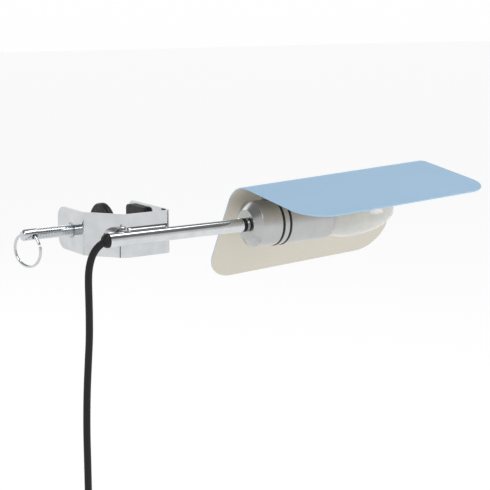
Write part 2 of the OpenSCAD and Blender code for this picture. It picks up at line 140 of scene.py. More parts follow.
def pick(obj):
    """Makes a piece the only one selected, and the active one."""
    deselect()
    obj.select_set(True)
    bpy.context.view_layer.objects.active = obj


def select_verts(obj, test):
    """Selects the vertices that pass a test on their place, and enters edit mode with them."""
    bpy.ops.object.mode_set(mode="OBJECT")
    mesh = obj.data
    for f in mesh.polygons:
        f.select = False
    for e in mesh.edges:
        e.select = False
    for v in mesh.vertices:
        v.select = test(v.co)
    bpy.ops.object.mode_set(mode="EDIT")
    bpy.ops.mesh.select_mode(type="VERT")


def modify(obj, kind, **settings):
    """Adds a modifier and applies it."""
    pick(obj)
    m = obj.modifiers.new(kind.title(), kind)
    for key, value in settings.items():
        setattr(m, key, value)
    bpy.ops.object.modifier_apply(modifier=m.name)


def smooth(obj, angle=35):
    """Shades a piece smooth up to an angle in degrees."""
    pick(obj)
    bpy.ops.object.shade_smooth_by_angle(angle=radians(angle))


def round_edges(obj, width, segments=2, limit=40):
    """Rounds the edges sharper than a limit in degrees."""
    modify(obj, "BEVEL", width=width, segments=segments, limit_method="ANGLE",
           angle_limit=radians(limit), use_clamp_overlap=True)
    smooth(obj)
    modify(obj, "WEIGHTED_NORMAL", keep_sharp=True)


def recalc(obj):
    """Points the faces outwards."""
    pick(obj)
    bpy.ops.object.mode_set(mode="EDIT")
    bpy.ops.mesh.select_all(action="SELECT")
    bpy.ops.mesh.normals_make_consistent(inside=False)
    bpy.ops.object.mode_set(mode="OBJECT")


def name_piece(name):
    """Names the active object and its data."""
    obj = bpy.context.object
    obj.name = obj.data.name = name
    return obj


def apply_place(obj, matrix=None):
    """Moves the piece's place into its mesh."""
    if matrix is not None:
        obj.matrix_world = matrix
    pick(obj)
    bpy.ops.object.transform_apply(location=True, rotation=True, scale=True)


def finish_with(obj, *materials):
    """Sets a piece's material slots."""
    obj.data.materials.clear()
    for m in materials:
        obj.data.materials.append(m)


def turned(name, steps, sides):
    """A solid turned about its own Z: a disc is extruded and resized from step to step (place, radius)."""
    deselect()
    z, r = steps[0]
    bpy.ops.mesh.primitive_circle_add(vertices=sides, radius=r, fill_type="NGON", location=(0, 0, 0))
    obj = name_piece(name)
    bpy.ops.object.mode_set(mode="EDIT")
    bpy.ops.transform.translate(value=(0, 0, z))
    bpy.ops.mesh.select_all(action="SELECT")
    for z2, r2 in steps[1:]:
        bpy.ops.mesh.extrude_region_move(TRANSFORM_OT_translate={"value": (0, 0, z2 - z)})
        k = r2 / r
        bpy.ops.transform.resize(value=(k, k, 1), center_override=(0, 0, z2))
        z, r = z2, r2
    bpy.ops.object.mode_set(mode="OBJECT")
    recalc(obj)
    return obj


def refined(node, name, width):
    """A merged copy of a CAD node whose sharp edges are rounded, which stands for it."""
    deselect()
    source = NODES[node]
    obj = source.copy()
    obj.data = source.data.copy()
    for key in list(obj.keys()):
        del obj[key]
    obj.parent = None
    obj.matrix_world = Matrix.Identity(4)
    bpy.context.scene.collection.objects.link(obj)
    obj.name = obj.data.name = name
    obj.hide_render = obj.hide_viewport = False
    if obj.data.has_custom_normals:
        pick(obj)
        bpy.ops.mesh.customdata_custom_splitnormals_clear()
    pick(obj)
    bpy.ops.object.mode_set(mode="EDIT")
    bpy.ops.mesh.select_all(action="SELECT")
    bpy.ops.mesh.remove_doubles(threshold=0.002 * MM)
    bpy.ops.mesh.dissolve_limited(angle_limit=radians(0.3))
    bpy.ops.object.mode_set(mode="OBJECT")
    round_edges(obj, width)
    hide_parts(node)
    return obj


# node, piece name, rounding in mm, body
ROUNDED = (
    ("clamp_frame", "bent_strip", 0.35, "clamp"),
    ("jaw_liner", "rubber_liner", 0.5, "clamp"),
    ("pivot_boss", "boss", 0.3, "clamp"),
    ("screw_bush", "bush", 0.3, "clamp"),
    ("pad_cup", "cup", 0.25, "pad"),
    ("end_cap", "head_front", 0.22, "arm"),
    ("rear_sleeve", "head_barrel", 0.22, "arm"),
    ("shade_bracket", "ridge_saddle", 0.25, "shade"),
    ("shade_collar", "collar", 0.2, "shade"),
)
ON_CORD = (
    ("switch_base", "switch_back", 0.9, "arm"),
    ("switch_cover", "switch_front", 0.5, "arm"),
    ("switch_rocker", "rocker_key", 0.5, "rocker"),
    ("plug_body", "plug_shell", 1.2, "arm"),
)


def round_fitting(node, name, width, body):
    """The rounded copy of a CAD node and body."""
    obj = refined(node, name, width * MM)
    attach(obj, body)
    return obj


# ---------- material helpers ----------

def add_node(tree, kind, inputs=None, **settings):
    """Adds a node with its settings; inputs maps a socket to a value or to another node's output."""
    n = tree.nodes.new(kind)
    for key, value in settings.items():
        setattr(n, key, value)
    for key, value in (inputs or {}).items():
        if isinstance(value, bpy.types.NodeSocket):
            tree.links.new(value, n.inputs[key])
        else:
            n.inputs[key].default_value = value
    return n


def new_material(name, **sockets):
    """A material with a Principled shader whose constants sit on its own sockets."""
    mat = bpy.data.materials.new(name)
    mat.use_nodes = True
    tree = mat.node_tree
    tree.nodes.clear()
    shader = add_node(tree, "ShaderNodeBsdfPrincipled")
    add_node(tree, "ShaderNodeOutputMaterial", {"Surface": shader.outputs[0]})
    for key, value in sockets.items():
        shader.inputs[key.replace("_", " ")].default_value = value
    return mat, tree, shader


def grain(tree, size, detail=3.0, stretch=(1, 1, 1)):
    """Noise with features of about size metres, stretched along the axes."""
    place = add_node(tree, "ShaderNodeTexCoord")
    scale = add_node(tree, "ShaderNodeMapping", {"Vector": place.outputs["Object"], "Scale": stretch})
    return add_node(tree, "ShaderNodeTexNoise", {
        "Vector": scale.outputs[0], "Scale": 1 / size, "Detail": detail, "Roughness": 0.55}).outputs[0]


NOISE = {"From Min": 0.3, "From Max": 0.7}     # where most of a noise lies


def pattern_drives(tree, shader, tone=None, rough=None, relief=None):
    """Lets patterns drive a shader. tone is a pattern, the two colours that it goes between and how far it
    goes, rough is a pattern and two roughnesses, relief is a pattern, its depth in metres and a strength."""
    if tone:
        pattern, first, second, reach = tone
        share = add_node(tree, "ShaderNodeMapRange", {"Value": pattern, **NOISE, "To Max": reach})
        blend = add_node(tree, "ShaderNodeMix", {0: share.outputs[0], 6: first, 7: second}, data_type="RGBA")
        tree.links.new(blend.outputs[2], shader.inputs["Base Color"])
    if rough:
        pattern, low, high = rough
        level = add_node(tree, "ShaderNodeMapRange", {
            "Value": pattern, **NOISE, "To Min": low, "To Max": high})
        tree.links.new(level.outputs[0], shader.inputs["Roughness"])
    if relief:
        pattern, depth, strength = relief
        raised = add_node(tree, "ShaderNodeBump", {
            "Height": pattern, "Distance": depth, "Strength": strength})
        tree.links.new(raised.outputs[0], shader.inputs["Normal"])


def opaque(rgb, factor=1.0):
    """A colour, dimmed by a factor, as RGBA."""
    return (*(c * factor for c in rgb[:3]), 1.0)


# ---------- materials ----------

def chrome_plate(name, tint, low, high):
    """Bright chrome plate, polished: a mirror with patches of haze and hairlines drawn along X."""
    mat, tree, shader = new_material(name, Metallic=1.0)
    haze = grain(tree, 14 * MM, 4)
    hair = grain(tree, 0.6 * MM, 2, (0.12, 1, 1))
    both = add_node(tree, "ShaderNodeMath", {0: haze, 1: hair}, operation="MULTIPLY")
    # the product of two noises lies mostly between 0.15 and 0.4
    level = add_node(tree, "ShaderNodeMapRange", {
        "Value": both.outputs[0], "From Min": 0.15, "From Max": 0.4, "To Min": low, "To Max": high})
    tree.links.new(level.outputs[0], shader.inputs["Roughness"])
    pattern_drives(tree, shader, tone=(haze, linear(tint), linear("C9CCCF"), 1.0),
                   relief=(hair, 0.002 * MM, 0.3))
    return mat


def turned_aluminium():
    """Satin aluminium, turned on a lathe: fine rings round the axis draw the light into radial bands."""
    mat, tree, shader = new_material("turned_aluminium", Metallic=1.0, Anisotropic=0.72)
    place = add_node(tree, "ShaderNodeTexCoord")
    centred = add_node(tree, "ShaderNodeMapping", {
        "Vector": place.outputs["Object"], "Location": (0, -ARM_Y, 0)})
    split = add_node(tree, "ShaderNodeSeparateXYZ", {0: centred.outputs[0]})
    flat = add_node(tree, "ShaderNodeCombineXYZ", {"Y": split.outputs["Y"], "Z": split.outputs["Z"]})
    far = add_node(tree, "ShaderNodeVectorMath", {0: flat.outputs[0]}, operation="LENGTH")
    rings = add_node(tree, "ShaderNodeCombineXYZ", {"X": split.outputs["X"], "Y": far.outputs["Value"]})
    # tool marks about 0.25 mm apart, coarser than real ones so that they show
    lines = add_node(tree, "ShaderNodeTexNoise", {
        "Vector": rings.outputs[0], "Scale": 1 / (0.45 * MM), "Detail": 3.0, "Roughness": 0.6}).outputs[0]
    broad = grain(tree, 20 * MM, 2)
    share = add_node(tree, "ShaderNodeMapRange", {"Value": lines, **NOISE})
    ringed = add_node(tree, "ShaderNodeMix", {
        0: share.outputs[0], 6: linear("B4B5B5"), 7: linear("C2C2C2")}, data_type="RGBA")
    pattern_drives(tree, shader, tone=(broad, ringed.outputs[2], linear("9FA0A1"), 0.25),
                   rough=(lines, 0.16, 0.24), relief=(lines, 0.004 * MM, 0.5))
    tangent = add_node(tree, "ShaderNodeTangent", direction_type="RADIAL", axis="X")
    tree.links.new(tangent.outputs[0], shader.inputs["Tangent"])
    return mat


def powder_paint(name, base, rough):
    """Powder-coated steel, baked: an even satin colour with a fine orange peel."""
    mat, tree, shader = new_material(name, IOR=1.5, Coat_Weight=0.12, Coat_Roughness=0.3)
    peel = grain(tree, 1.6 * MM, 2)
    broad = grain(tree, 60 * MM, 3)
    pattern_drives(tree, shader, (broad, opaque(base), opaque(base, 0.97), 1.0),
                   (peel, rough - 0.05, rough + 0.06), (peel, 0.03 * MM, 0.35))
    return mat


def moulded_rubber(name, tint, rough):
    """Black rubber, moulded: dull and dark, dusted slightly grey."""
    mat, tree, shader = new_material(name, IOR=1.5, Specular_IOR_Level=0.35)
    dust = grain(tree, 5 * MM, 5)
    skin = grain(tree, 0.5 * MM, 2)
    pattern_drives(tree, shader, (dust, linear(tint), linear("1D1D1D"), 0.5),
                   (dust, rough - 0.08, rough + 0.12), (skin, 0.03 * MM, 0.4))
    return mat


def plain_metal(name, tint, worn, rough):
    """Steel, brass or nickel of small turned fittings: soft shine with fine marks and a little tarnish."""
    mat, tree, shader = new_material(name, Metallic=1.0)
    marks = grain(tree, 1.2 * MM, 4, (1, 0.3, 0.3))
    stain = grain(tree, 6 * MM, 4)
    pattern_drives(tree, shader, (stain, linear(tint), linear(worn), 0.8),
                   (marks, rough * 0.75, rough * 1.35), (marks, 0.01 * MM, 0.4))
    return mat


def moulded_plastic(name, tint, rough, spark, depth):
    """Plastic or fibre, moulded: an even colour broken by the fine texture that the mould leaves."""
    mat, tree, shader = new_material(name, IOR=1.49)
    fine = grain(tree, spark, 2)
    broad = grain(tree, 9 * MM, 3)
    base = linear(tint)
    pale = (*(min(1.0, c * 1.5 + 0.004) for c in base[:3]), 1.0)
    pattern_drives(tree, shader, (broad, base, pale, 0.6), (fine, rough - 0.06, rough + 0.08),
                   (fine, depth, 0.5))
    return mat


def opal_glass():
    """Opal glass, blown: milky white under a clear shine, and soft where light enters it."""
    mat, tree, shader = new_material(
        "opal_bulb_glass", IOR=1.5, Subsurface_Weight=0.35, Subsurface_Scale=4 * MM,
        Coat_Weight=0.4, Coat_Roughness=0.08)
    cloud = grain(tree, 12 * MM, 3)
    pattern_drives(tree, shader, (cloud, linear("CFCFCB"), linear("C4C4BF"), 1.0),
                   (cloud, 0.18, 0.26), (cloud, 0.02 * MM, 0.2))
    return mat


def braided_textile(dye, yarns):
    """Rayon, braided over the cord: crossing yarns, matt, with a dim sheen and painted shade in the grooves
    between the yarns. UV runs along and round it.
    """
    mat, tree, shader = new_material(
        "braided_rayon", Sheen_Weight=0.06, Sheen_Roughness=0.4, Roughness=0.8)
    place = add_node(tree, "ShaderNodeTexCoord")
    split = add_node(tree, "ShaderNodeSeparateXYZ", {0: place.outputs["UV"]})
    waves = []
    for way in (1, -1):
        # yarns cross the cord at a slant, and meet themselves after a turn round it
        wave = split.outputs["Y"]
        for operation, *values in (("MULTIPLY", float(yarns * way)), ("ADD", split.outputs["X"]),
                                   ("MULTIPLY", 2 * pi), ("SINE",), ("MULTIPLY_ADD", 0.5, 0.5)):
            step = add_node(tree, "ShaderNodeMath", dict(enumerate((wave, *values))), operation=operation)
            wave = step.outputs[0]
        waves.append(wave)
    height = add_node(tree, "ShaderNodeMath", dict(enumerate(waves)), operation="MAXIMUM").outputs[0]
    fuzz = grain(tree, 0.5 * MM, 3)
    # painted shade: the yarns' colour falls to 45 % of the dye where the braid is low, in the grooves
    # between yarns
    share = add_node(tree, "ShaderNodeMapRange", {"Value": height, "From Min": 0.4})
    yarn = add_node(tree, "ShaderNodeMix", {
        0: share.outputs[0], 6: opaque(dye, 0.45), 7: opaque(dye)}, data_type="RGBA")
    pattern_drives(tree, shader, tone=(fuzz, yarn.outputs[2], linear("1F1F21"), 0.35),
                   relief=(height, 0.25 * MM, 0.7))
    return mat


def woven_strap():
    """Nylon strap, woven: matt ribs about 1 mm apart, with painted shade darkening the grooves."""
    mat, tree, shader = new_material("woven_strap", Roughness=0.75, Sheen_Weight=0.2)
    place = add_node(tree, "ShaderNodeTexCoord")
    ribs = add_node(tree, "ShaderNodeTexWave", {
        "Vector": place.outputs["Object"], "Scale": 1 / (3.1 * MM), "Distortion": 0.6},
        wave_type="BANDS", bands_direction="Z")
    # painted shade: near black in the grooves between the ribs, dark grey on their crests
    tone = add_node(tree, "ShaderNodeMix", {
        0: ribs.outputs["Fac"], 6: linear("0E0E0F"), 7: linear("242427")}, data_type="RGBA")
    tree.links.new(tone.outputs[2], shader.inputs["Base Color"])
    pattern_drives(tree, shader, relief=(ribs.outputs["Fac"], 0.2 * MM, 0.6))
    return mat


def glazed_ceramic():
    """Ceramic, glazed: a white body with fine pores under a clear gloss."""
    mat, tree, shader = new_material("glazed_ceramic", IOR=1.55, Coat_Weight=0.6, Coat_Roughness=0.05)
    pores = grain(tree, 1.5 * MM, 3)
    pattern_drives(tree, shader, (pores, linear("EFEDE4"), linear("E4E0D3"), 1.0), (pores, 0.2, 0.35))
    return mat


def pale_floor():
    """Plain pale sweep under the object, which glows a little so that it stays even to the horizon."""
    mat, tree, shader = new_material(
        "pale_floor", Roughness=0.9, Specular_IOR_Level=0.1, Emission_Strength=0.85)
    shader.inputs["Base Color"].default_value = linear("808080")
    shader.inputs["Emission Color"].default_value = linear("FFFFFF")
    return mat


# ---------- routes ----------

def route():
    """The cord's middle line, in metres: the hanging stretch, seven turns in two layers, the plug's tail."""
    y = ARM_Y / MM
    hang = [
        (-53.5, y, 0), (-58, y, 0), (-62.5, y, -0.4), (-67.5, y, -2), (-72.5, y, -5.5), (-76.5, y, -11),
        (-79, y, -17.5), (-80.5, y, -25), (-81, y, -34), (-81, y, -46), (-81, y, -62), (-81.5, y, -82),
        (-83, y, -103), (-84.5, y, -124), (-85.5, y, -145), (-86, y, -166), (-86, y, -188), (-86, y, -210),
        (-86, y, -232), (-86, y, -254), (-86, y, -276), (-86, y, -286), (-86.4, y - 1.6, -296),
        (-87.6, y - 5.2, -306), (-88.8, y - 8.4, -315),
    ]
    # slots of the winding across (Y) and out (radius), in the order that the turns fill them
    across, inner, outer = 6.3, 31.5, 38.0
    first, stagger, window = 0.04, 0.125, 0.2     # parts of a turn
    slots = [(-1.5, outer), (-1.5, inner), (-0.5, inner), (0.5, inner), (1.5, inner), (1.5, outer),
             (0.5, outer), (-0.5, outer)]
    turns, per_turn = 7, 36
    coil = []
    for i in range(turns * per_turn + 1):
        k, t = divmod(i / per_turn, 1)
        k = int(k)
        if k >= turns:
            k, t = turns - 1, 1.0
        # a turn starts to change slot a little after the turn whose slot it takes
        start = first + stagger * (turns - 1 - k)
        s = min(1.0, max(0.0, (t - start) / window))
        s = s * s * (3 - 2 * s)
        a, b = slots[k], slots[k + 1]
        r = a[1] + (b[1] - a[1]) * s
        side = (a[0] + (b[0] - a[0]) * s) * across
        turn = 2 * pi * i / per_turn
        coil.append((COIL_X / MM - r * cos(turn), y + side, COIL_Z / MM - r * sin(turn)))
    tail = [(-89, y - 2.6, -334), (-87.8, y - 1.6, -344), (-86.5, y - 0.5, -353), (-86, y, -362),
            (-86, y, -366)]
    return [Vector(p) * MM for p in hang + coil + tail]


def even_path(points, step):
    """The smooth curve through the points, at even steps."""
    parts = 8
    fine = []
    for i in range(len(points) - 1):
        p0, p1, p2, p3 = (points[max(0, min(len(points) - 1, i + k))] for k in (-1, 0, 1, 2))
        for j in range(parts):
            t = j / parts
            fine.append(0.5 * (2 * p1 + (p2 - p0) * t + (2 * p0 - 5 * p1 + 4 * p2 - p3) * t * t
                               + (3 * p1 - p0 - 3 * p2 + p3) * t ** 3))
    fine.append(points[-1])
    out, run, due = [fine[0]], 0.0, step
    for a, b in zip(fine, fine[1:]):
        d = (b - a).length
        while run + d >= due:
            out.append(a.lerp(b, (due - run) / d))
            due += step
        run += d
    if (out[-1] - fine[-1]).length > 0.4 * step:
        out.append(fine[-1])
    else:
        out[-1] = fine[-1]
    return out


def tube_along(name, path, radius, sides, lay):
    """A closed tube along a path, its UV in yarn lengths along it and turns round it."""
    side = Vector((0, 1, 0))
    verts, faces, uvs, lengths = [], [], [], [0.0]
    for a, b in zip(path, path[1:]):
        lengths.append(lengths[-1] + (b - a).length)
    for i, p in enumerate(path):
        ahead = (path[min(i + 1, len(path) - 1)] - path[max(i - 1, 0)]).normalized()
        side = (side - side.dot(ahead) * ahead).normalized()
        up = ahead.cross(side)
        for k in range(sides):
            a = 2 * pi * k / sides
            verts.append(p + radius * (cos(a) * side + sin(a) * up))
    for i in range(len(path) - 1):
        for k in range(sides):
            n = (k + 1) % sides
            faces.append((i * sides + k, i * sides + n, (i + 1) * sides + n, (i + 1) * sides + k))
            u, u_next, v, v_next = lengths[i] / lay, lengths[i + 1] / lay, k / sides, (k + 1) / sides
            uvs.append([(u, v), (u, v_next), (u_next, v_next), (u_next, v)])
    last = (len(path) - 1) * sides
    faces.append(tuple(range(sides - 1, -1, -1)))
    faces.append(tuple(last + k for k in range(sides)))
    uvs += [[(0, 0)] * sides] * 2
    mesh = bpy.data.meshes.new(name)
    mesh.from_pydata(verts, [], faces)
    layer = mesh.uv_layers.new(name="UVMap")
    layer.data.foreach_set("uv", [c for face in uvs for uv in face for c in uv])
    obj = bpy.data.objects.new(name, mesh)
    bpy.context.scene.collection.objects.link(obj)
    recalc(obj)
    smooth(obj, 60)
    return obj, lengths[-1]


# ---------- operators ----------

class PICTURELIGHT_OT_camera(bpy.types.Operator):
    """Sets the camera in front of the clamp, a little above the arm"""
    bl_idname = "picture_light.camera"
    bl_label = "Camera"

    place = (-0.5649, -1.0188, 0.1975)
    # degrees: down from level, about the view, and round from +Y towards -X
    pitch, roll, yaw = 10.63, 0.1, -33.95

    def execute(self, context):
        deselect()
        bpy.ops.object.camera_add(
            location=self.place, rotation=(radians(90 - self.pitch), radians(self.roll), radians(self.yaw)))
        camera = name_piece("camera")
        camera.data.lens = 95.1
        camera.data.sensor_width = 36
        camera.data.clip_end = 60
        context.scene.camera = camera
        return {"FINISHED"}


class PICTURELIGHT_OT_cord(bpy.types.Operator):
    """Lays the cord from the arm's grommet through the switch and the coil to the plug"""
    bl_idname = "picture_light.cord"
    bl_label = "Cord"

    def execute(self, context):
        sizes = context.scene.light_cord
        d = sizes.diameter
        path = even_path(route(), 0.55 * d)
        cord, run = tube_along("textile_cord", path, d / 2, 16, sizes.yarn)
        finish_with(cord, braided_textile(sizes.dye, 6))
        fitted = [self.reliefs(), self.tie()] + [round_fitting(*row) for row in ON_CORD]
        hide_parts("cord_run", "cord_coil", "cord_tail")
        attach(cord, "arm")
        return {"FINISHED"}

    def reliefs(self):
        """Ribbed sleeves at both ends of the switch, which narrow towards the cord."""
        ribs, rib_step, taper = 4, 3.0, 0.42
        made = []
        for end, turn in ((SWITCH[1].z, 0.0), (SWITCH[0].z, pi)):
            steps = [(0.0, 5.4)]
            for rib in range(ribs):
                z, r = 0.4 + rib_step * rib, 5.3 - taper * rib
                steps += [(z, r), (z + 1.6, r - 0.1), (z + 1.9, r - 0.75), (z + 2.7, r - 0.8)]
            steps.append((12.6, 3.5))
            sleeve = turned("relief", [(z * MM, r * MM) for z, r in steps], 32)
            place = Matrix.Translation((CORD_X, ARM_Y, end))
            apply_place(sleeve, place @ Matrix.Rotation(turn, 4, "X"))
            made.append(sleeve)
        pick(made[0])
        made[1].select_set(True)
        bpy.ops.object.join()
        obj = name_piece("switch_reliefs")
        round_edges(obj, 0.12 * MM)
        # soft moulded rubber: greyer than the pad, and as dull
        finish_with(obj, moulded_rubber("relief_rubber", "171717", 0.5))
        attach(obj, "arm")
        return obj

    def tie(self):
        """Strap round the winding: a box without its ends, its corners rounded, then given a wall."""
        low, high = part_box("cord_tie")
        size, mid = high - low, (high + low) / 2
        deselect()
        bpy.ops.mesh.primitive_cube_add(size=1, location=(0, 0, 0))
        obj = name_piece("coil_strap")
        obj.scale = size
        obj.location = mid
        apply_place(obj)
        select_verts(obj, lambda co: False)
        bpy.ops.mesh.select_mode(type="FACE")
        bpy.ops.object.mode_set(mode="OBJECT")
        for f in obj.data.polygons:
            f.select = abs(f.normal.z) > 0.9
        bpy.ops.object.mode_set(mode="EDIT")
        bpy.ops.mesh.delete(type="FACE")
        bpy.ops.object.mode_set(mode="OBJECT")
        for e in obj.data.edges:
            a, b = (obj.data.vertices[i].co for i in e.vertices)
            e.select = abs(a.z - b.z) > 0.5 * size.z
        bpy.ops.object.mode_set(mode="EDIT")
        bpy.ops.mesh.select_mode(type="EDGE")
        bpy.ops.mesh.bevel(offset=4 * MM, segments=6, affect="EDGES")
        bpy.ops.object.mode_set(mode="OBJECT")
        modify(obj, "SOLIDIFY", thickness=1.3 * MM, offset=-1)
        round_edges(obj, 0.3 * MM)
        finish_with(obj, woven_strap())
        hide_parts("cord_tie")
        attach(obj, "arm")
        return obj


class PICTURELIGHT_OT_shade(bpy.types.Operator):
    """Folds the shade's sheet: one side, the spun ridge, the other side, then its thickness and rim"""
    bl_idname = "picture_light.shade"
    bl_label = "Shade"

    # degrees: lean about the arm, rise towards the far end, half the angle between the sides
    lean, rise, half = 25.7, 2.7, 55.0
    ridge_top, start = 42 * MM, -30.9 * MM        # ridge above the arm's axis, near end from the collar

    def execute(self, context):
        s = context.scene.light_shade
        near, same = 1e-6, 5e-6
        deselect()
        # a side lies flat above the bend's axis, its fold edge at Y 0
        bpy.ops.mesh.primitive_plane_add(size=1, location=(0, 0, 0))
        obj = name_piece("folded_shade")
        bpy.ops.object.mode_set(mode="EDIT")
        bpy.ops.transform.resize(value=(s.long, s.flat, 1))
        bpy.ops.transform.translate(value=(s.long / 2, s.flat / 2, s.ridge))
        select_verts(obj, lambda co: abs(co.y) < near)
        turn = radians(180 - 2 * self.half)
        bpy.ops.mesh.spin(steps=20, angle=turn, center=(0, 0, 0), axis=(-1, 0, 0))
        bpy.ops.object.mode_set(mode="OBJECT")
        if min(v.co.y for v in obj.data.vertices) > -near:
            raise RuntimeError("the ridge was spun the wrong way")
        # the other side runs on from the bend's last edge
        last = Vector((0, -sin(turn), cos(turn))) * s.ridge
        down = Vector((0, -cos(turn), -sin(turn)))
        select_verts(obj, lambda co: abs(co.y - last.y) < near and abs(co.z - last.z) < near)
        bpy.ops.mesh.extrude_edges_move(TRANSFORM_OT_translate={"value": down * s.flat})
        tip = last + down * s.flat
        corners = [Vector((x, *e)) for x in (0, s.long) for e in ((s.flat, s.ridge), (tip.y, tip.z))]
        select_verts(obj, lambda co: any((co - c).length < same for c in corners))
        bpy.ops.mesh.bevel(offset=s.corner, offset_type="OFFSET", segments=20, affect="VERTICES")
        bpy.ops.object.mode_set(mode="OBJECT")
        recalc(obj)
        if max(obj.data.polygons, key=lambda f: f.center.z).normal.z < 0:
            pick(obj)
            bpy.ops.object.mode_set(mode="EDIT")
            bpy.ops.mesh.select_all(action="SELECT")
            bpy.ops.mesh.flip_normals()
            bpy.ops.object.mode_set(mode="OBJECT")
        finish_with(obj, powder_paint("blue_powder_paint", s.outside, 0.46),
                    powder_paint("cream_powder_paint", s.inside, 0.5))
        modify(obj, "SOLIDIFY", thickness=s.sheet, offset=-1, use_even_offset=True, material_offset=1,
               material_offset_rim=0)
        round_edges(obj, s.rim, 3, 50)
        centre = self.ridge_top - s.ridge / sin(radians(self.half))
        place = (Matrix.Translation((COLLAR_X, ARM_Y, 0)) @ Matrix.Rotation(radians(-self.lean), 4, "X")
                 @ Matrix.Rotation(radians(-self.rise), 4, "Y")
                 @ Matrix.Translation((self.start, 0, centre)) @ Matrix.Rotation(-turn / 2, 4, "X"))
        apply_place(obj, place)
        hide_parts("shade_shell")
        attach(obj, "shade")
        return {"FINISHED"}


class PICTURELIGHT_OT_screw(bpy.types.Operator):
    """Cuts the clamp screw: domed rod with a cross hole, then the thread wound on it"""
    bl_idname = "picture_light.screw"
    bl_label = "Clamp screw"

    # the cross hole: degrees about the screw and across it, place and radius
    roll, yaw, hole_from_tip, hole = 16.5, 22.0, 9.2 * MM, 2.45 * MM
    thread_depth, dome_height = 0.8 * MM, 2.6 * MM
    # radii of the inner end and of its clip groove, and how much thinner than the thread the shoulder is
    nose, groove, lead = 4 * MM, 3.2 * MM, 0.2 * MM

    def execute(self, context):
        s = context.scene.light_screw
        r, root = s.radius, s.radius - self.thread_depth
        dome = [(self.dome_height * (1 - cos(radians(15 * i))), r * sin(radians(15 * i)))
                for i in range(1, 7)]
        end = SCREW_END - SCREW_TIP
        shoulder, clip = end - 5.85 * MM, end - 2.4 * MM
        steps = [(0.02 * MM, 0.4 * MM)] + dome + [
            (s.plain - 0.5 * MM, r), (s.plain, root),
            (shoulder - 1.2 * MM, root), (shoulder - 0.6 * MM, r - self.lead), (shoulder, r - self.lead),
            (shoulder, self.nose), (clip, self.nose), (clip, self.groove),
            (clip + 0.8 * MM, self.groove), (clip + 0.8 * MM, self.nose),
            (end - 0.5 * MM, self.nose), (end, 3.5 * MM)]
        rod = turned("threaded_screw", steps, 64)
        apply_place(rod, Matrix.Translation((SCREW_TIP, 0, 0)) @ Matrix.Rotation(pi / 2, 4, "Y"))
        self.drill(rod)
        thread = self.thread(s, root, SCREW_TIP + s.plain - 0.4 * MM, SCREW_TIP + shoulder - 0.9 * MM)
        smooth(rod, 30)
        pick(rod)
        thread.select_set(True)
        bpy.ops.object.join()
        # plate on a cut thread: hazier and darker than on the strip
        finish_with(rod, chrome_plate("chromed_thread", "CDD0D3", 0.07, 0.16))
        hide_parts("clamp_screw")
        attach(rod, "screw")
        return {"FINISHED"}

    def drill(self, rod):
        """Cuts the cross hole, along the ring's own direction."""
        deselect()
        bpy.ops.mesh.primitive_cylinder_add(vertices=40, radius=self.hole, depth=20 * MM)
        drill = bpy.context.object
        drill.matrix_world = (Matrix.Translation((SCREW_TIP + self.hole_from_tip, 0, 0))
                              @ Matrix.Rotation(radians(self.roll), 4, "X")
                              @ Matrix.Rotation(radians(self.yaw), 4, "Z") @ Matrix.Rotation(pi / 2, 4, "X"))
        modify(rod, "BOOLEAN", operation="DIFFERENCE", object=drill, solver="EXACT")
        bpy.data.objects.remove(drill)

    def thread(self, s, root, start, end):
        """A ridge wound round X: its section is a small plane, swept by a screw modifier."""
        deselect()
        bpy.ops.mesh.primitive_plane_add(size=1, location=(0, 0, 0), rotation=(pi / 2, 0, 0))
        obj = name_piece("thread")
        depth = s.radius - root
        # the foot's width as a part of the pitch, the crest's as a part of the foot's, how far it is let in
        foot, crest, sunk = 0.92, 0.2, 0.07 * MM
        apply_place(obj)
        bpy.ops.object.mode_set(mode="EDIT")
        bpy.ops.transform.resize(value=(foot * s.pitch, 1, depth + 0.1 * MM))
        bpy.ops.transform.translate(value=(start + 0.5 * s.pitch, 0, root + depth / 2 - sunk))
        middle = root + 0.5 * depth
        select_verts(obj, lambda co: co.z > middle)
        bpy.ops.transform.resize(value=(crest, 1, 1))
        bpy.ops.mesh.select_all(action="SELECT")
        bpy.ops.mesh.delete(type="ONLY_FACE")
        bpy.ops.object.mode_set(mode="OBJECT")
        turns = int((end - start) / s.pitch) - 1
        modify(obj, "SCREW", axis="X", screw_offset=s.pitch, iterations=turns, steps=32, render_steps=32,
               use_merge_vertices=True, merge_threshold=1e-7, use_smooth_shade=False)
        bpy.ops.object.mode_set(mode="EDIT")
        bpy.ops.mesh.select_all(action="SELECT")
        bpy.ops.mesh.fill_holes(sides=4)
        bpy.ops.object.mode_set(mode="OBJECT")
        recalc(obj)
        smooth(obj, 30)
        return obj


class PICTURELIGHT_OT_fittings(bpy.types.Operator):
    """Rounds the edges of the bent, turned and moulded fittings"""
    bl_idname = "picture_light.fittings"
    bl_label = "Fittings"

    def execute(self, context):
        for row in ROUNDED:
            round_fitting(*row)
        return {"FINISHED"}


